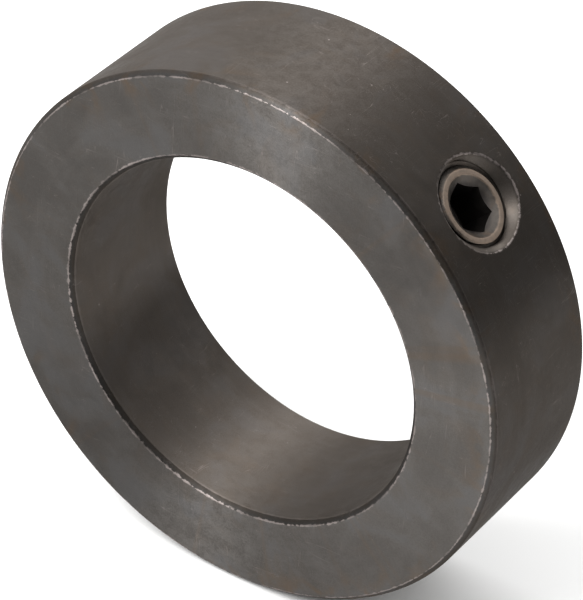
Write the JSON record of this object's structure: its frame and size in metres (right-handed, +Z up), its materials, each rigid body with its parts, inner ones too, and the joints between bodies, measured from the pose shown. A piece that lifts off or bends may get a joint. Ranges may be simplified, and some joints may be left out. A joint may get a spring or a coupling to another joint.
{
  "type": "shaft collar",
  "caption": "Solid set-screw shaft collar: a plain steel ring that a radial hex-socket cup-point screw locks to a shaft.",
  "frame": {"origin": "centre of the bore, at mid-width", "axes": "+Y along the bore towards the back face; +Z up; the screw's axis lies in the XZ plane, 45 degrees from +X towards +Z, and the ring stands on its rim"},
  "size_m": [0.0815, 0.0234, 0.0814],
  "materials": {
    "ring_steel": "mottled black oxide over turned steel, satin, rubbed bright along the edges",
    "screw_steel": "brown-black oxide over alloy steel, satin"
  },
  "bodies": {
    "collar": {"collar_ring": "ring_steel"},
    "screw_point": {"set_screw_cup_point": "screw_steel"},
    "screw_body": {"set_screw": "screw_steel"}
  },
  "joints": [
    {"name": "screw_travel", "type": "slide", "parent": "collar", "child": "screw_point", "axis": [0.7071, 0, 0.7071], "range_m": [-0.00033, 0.00684]},
    {"name": "screw_turn", "type": "hinge", "parent": "screw_point", "child": "screw_body", "pos_m": [0.02813, 0, 0.02813], "axis": [0.7071, 0, 0.7071], "range_deg": [-60, 1260]}
  ],
  "couplings": [
    {"joint": "screw_travel", "follows": "screw_turn", "m_per_rad": 0.00031096}
  ]
}
